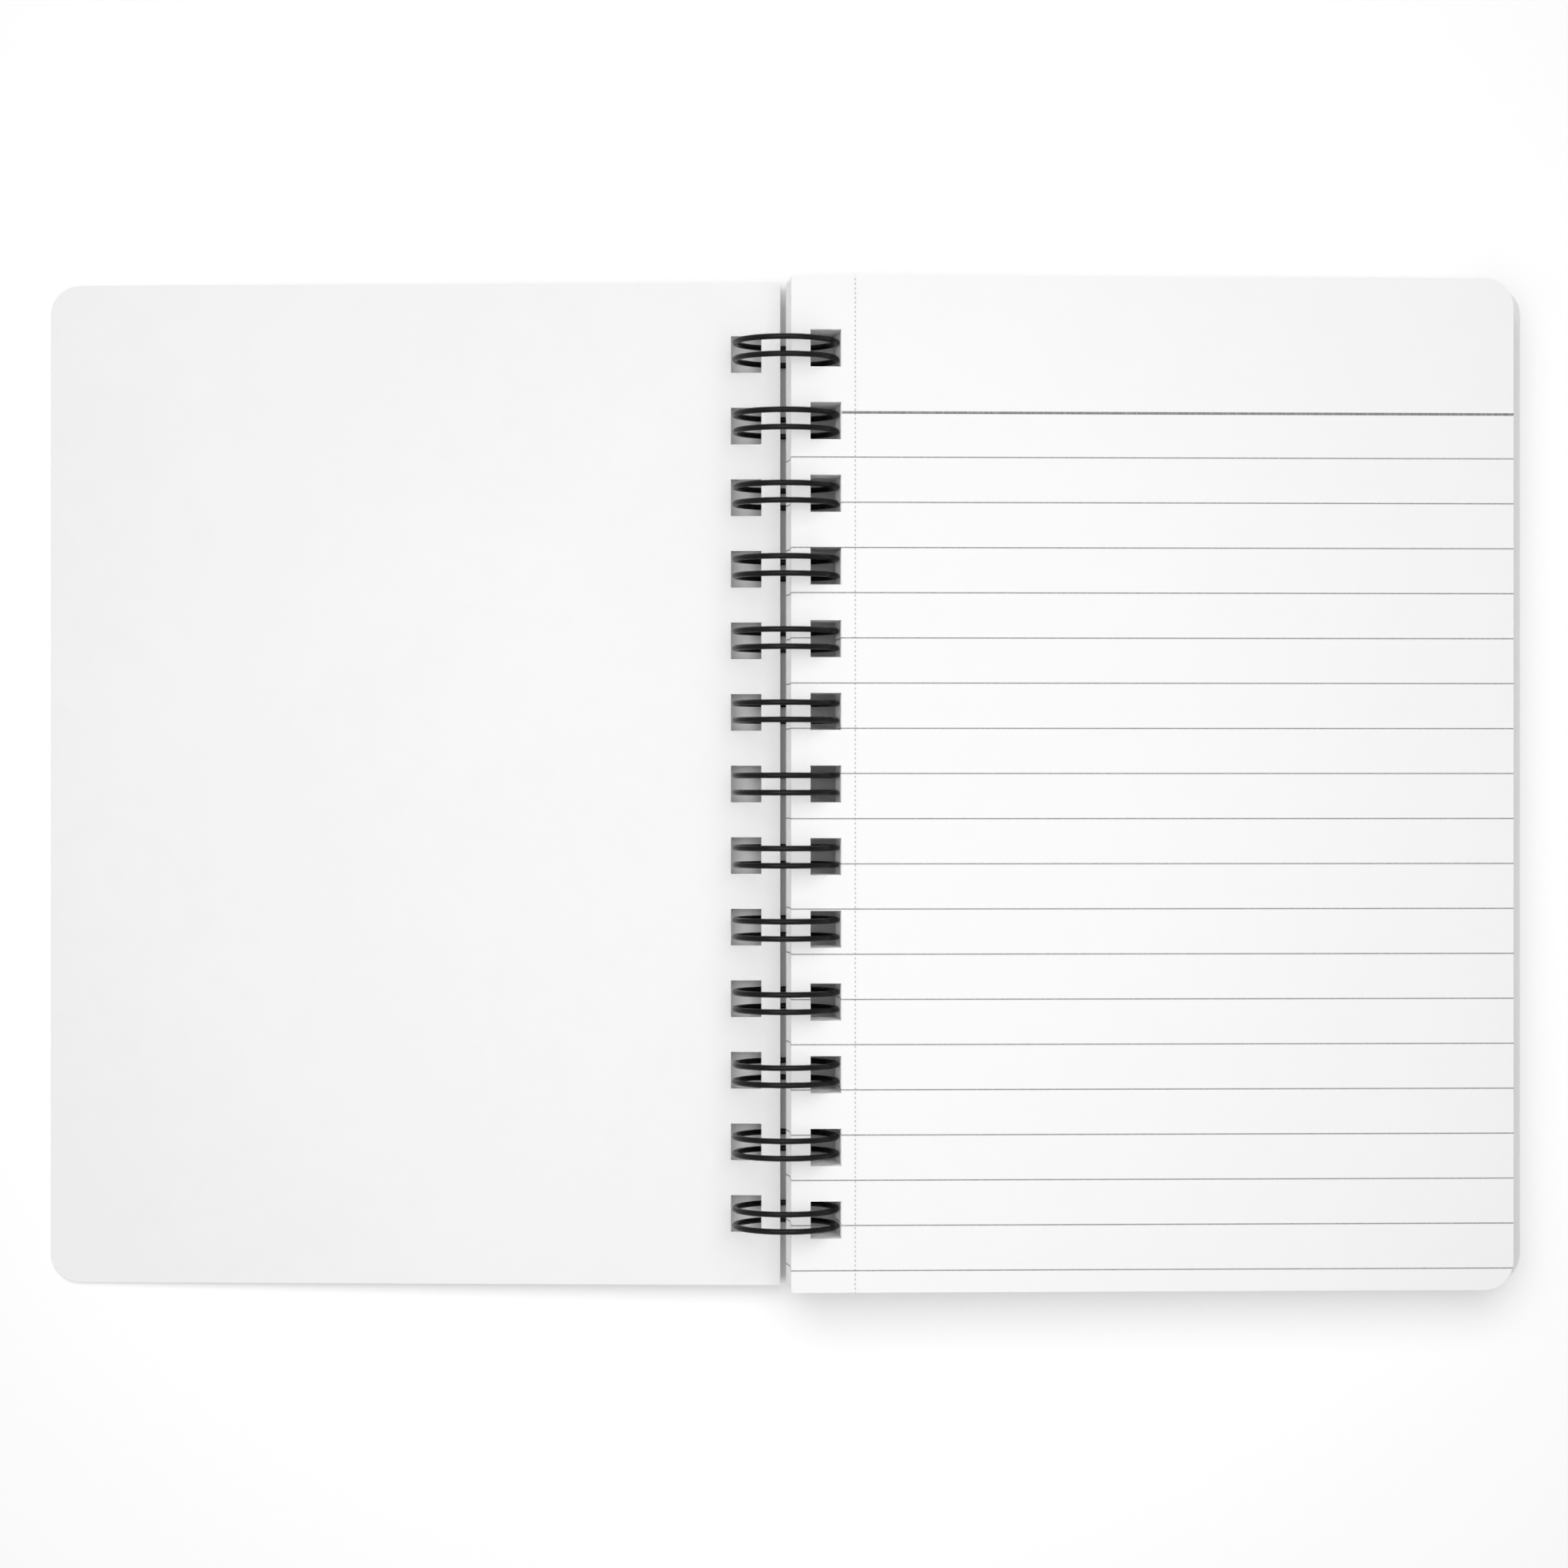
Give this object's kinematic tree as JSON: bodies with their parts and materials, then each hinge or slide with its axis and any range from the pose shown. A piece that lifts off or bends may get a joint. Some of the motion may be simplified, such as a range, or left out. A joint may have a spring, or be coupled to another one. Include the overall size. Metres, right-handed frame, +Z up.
{
  "type": "open wire-bound notebook",
  "caption": "Open notebook of ruled pages between two plain card covers, bound along the spine by a twin-loop wire; both covers turn on the rings.",
  "frame": {"origin": "on the table, under the middle of the rings, halfway along the spine", "axes": "+X towards the pages' outer edge, +Y along the spine to the head of the pages, +Z up"},
  "size_m": [0.2622, 0.1778, 0.0189],
  "materials": {
    "cover_card": "smooth matt card",
    "page_paper": "matt writing paper",
    "wire": "black nylon-coated steel wire, satin"
  },
  "bodies": {
    "pages_and_wire": {"page_block": "page_paper", "binding_wire": "wire"},
    "front_cover": {"front_cover": "cover_card"},
    "back_cover": {"back_cover": "cover_card"}
  },
  "joints": [
    {"name": "front_cover_turn", "type": "hinge", "parent": "pages_and_wire", "child": "front_cover", "pos_m": [0, 0, 0.00945], "axis": [0, 1, 0], "range_deg": [0, 183.5]},
    {"name": "back_cover_turn", "type": "hinge", "parent": "pages_and_wire", "child": "back_cover", "pos_m": [0.0007, 0, 0.00515], "axis": [0, 1, 0], "range_deg": [0, 90]}
  ]
}
